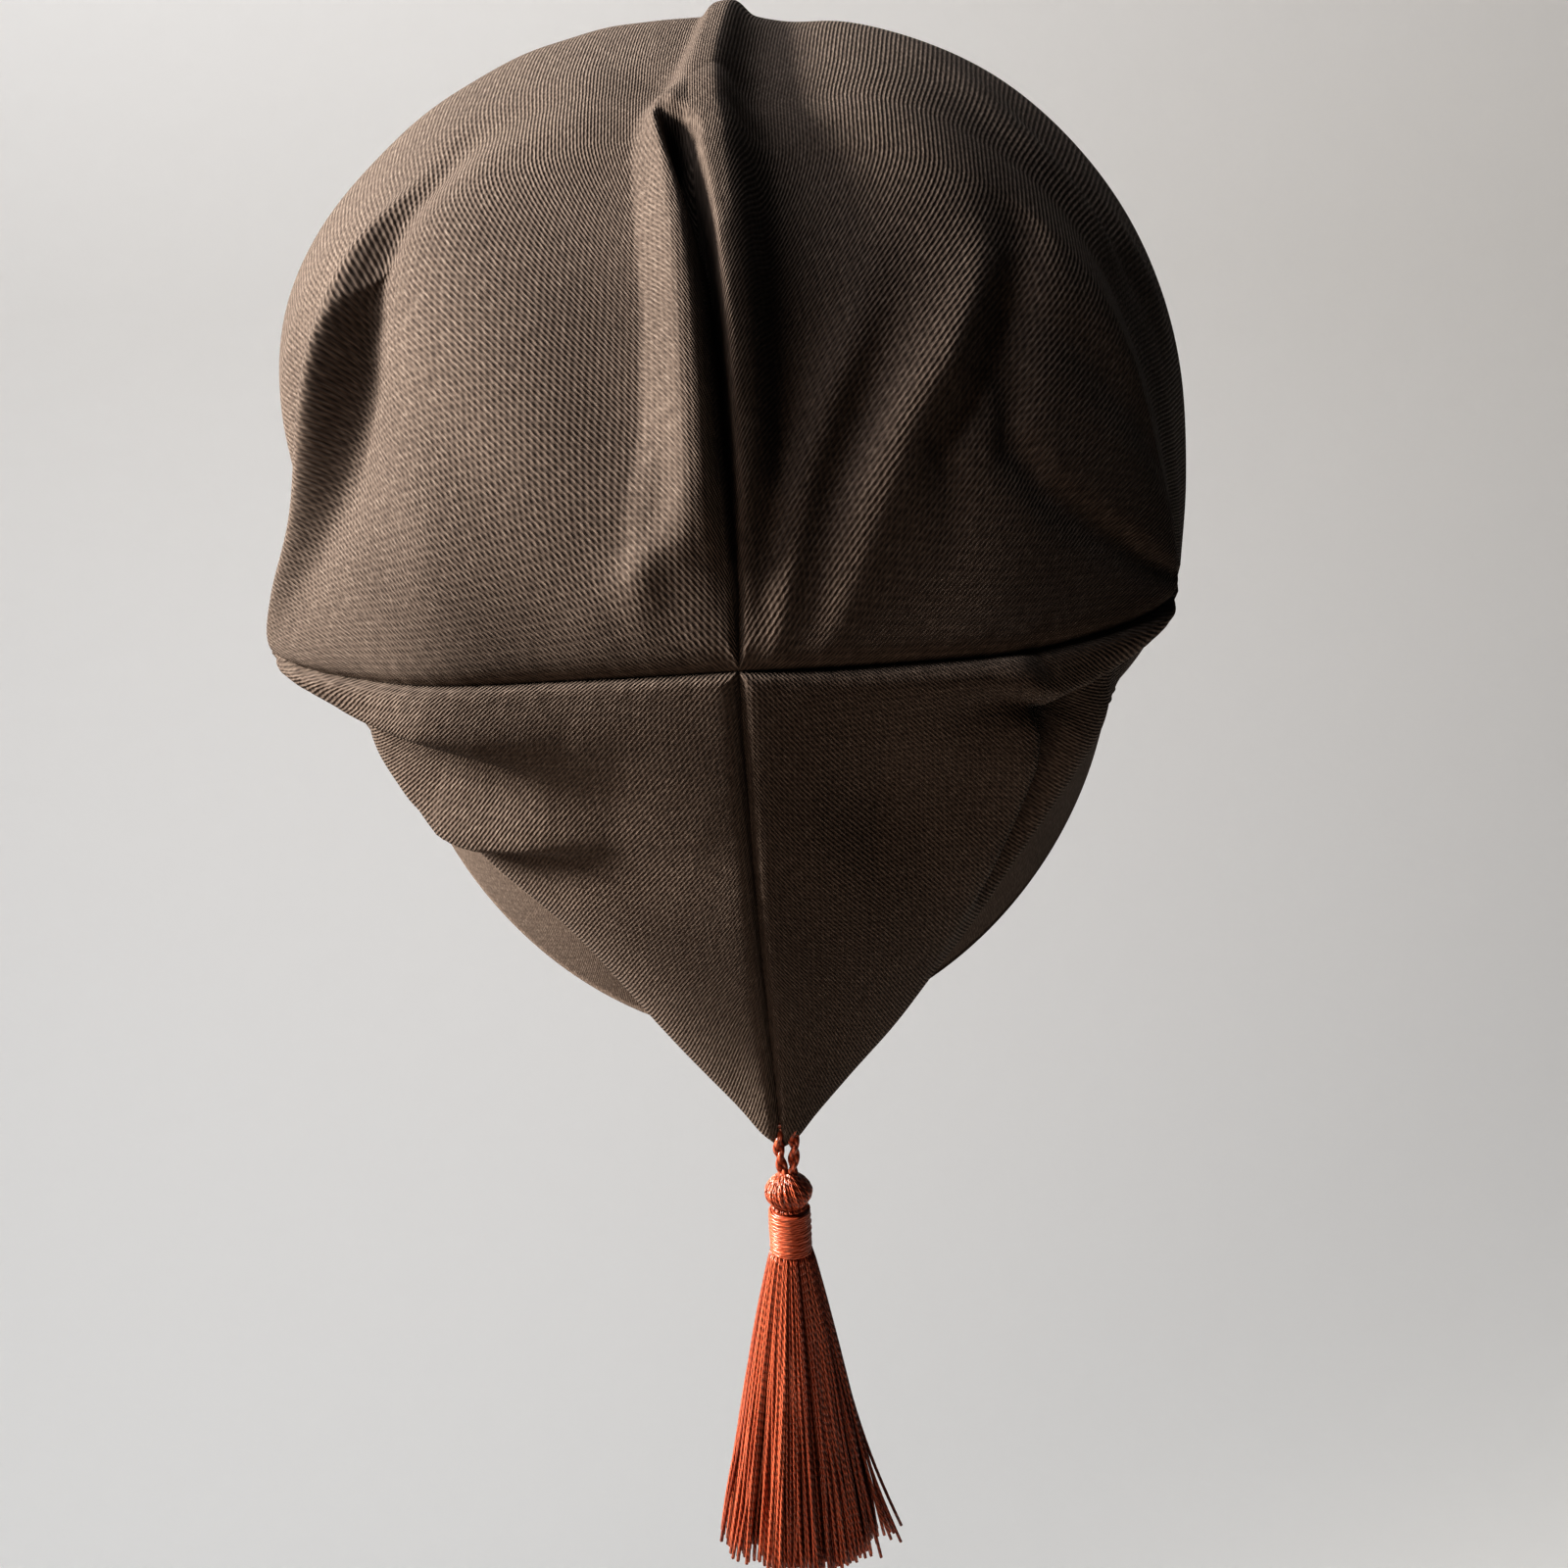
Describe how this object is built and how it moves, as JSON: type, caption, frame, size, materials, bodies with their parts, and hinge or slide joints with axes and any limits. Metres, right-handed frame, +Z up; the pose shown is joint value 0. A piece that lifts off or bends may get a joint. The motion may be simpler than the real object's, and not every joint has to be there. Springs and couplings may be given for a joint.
{
  "type": "tassel beanie",
  "caption": "Dark brown slouch beanie of ribbed jersey in its worn shape: a square end seamed crosswise drapes behind the head, and a rust thread tassel hangs from its lowest corner.",
  "frame": {"origin": "middle of the head opening, at its lower edge, where the hat sits on a head", "axes": "+Z is up as worn, +Y is the way the wearer faces, +X is the wearer's right; the tassel hangs along -Z behind the nape"},
  "size_m": [0.1702, 0.1968, 0.2679],
  "materials": {
    "jersey": "matte fine-ribbed knit, dark taupe brown",
    "hem": "matte smooth knit, folded double, dark taupe brown",
    "tassel_thread": "silky twisted thread, rust copper with a soft sheen"
  },
  "bodies": {
    "root": {"front_panel": "jersey", "back_panel": "jersey", "hem_band": "hem", "tassel_loop": "tassel_thread", "tassel_threads": "tassel_thread", "tassel_wrap": "tassel_thread"}
  },
  "joints": []
}
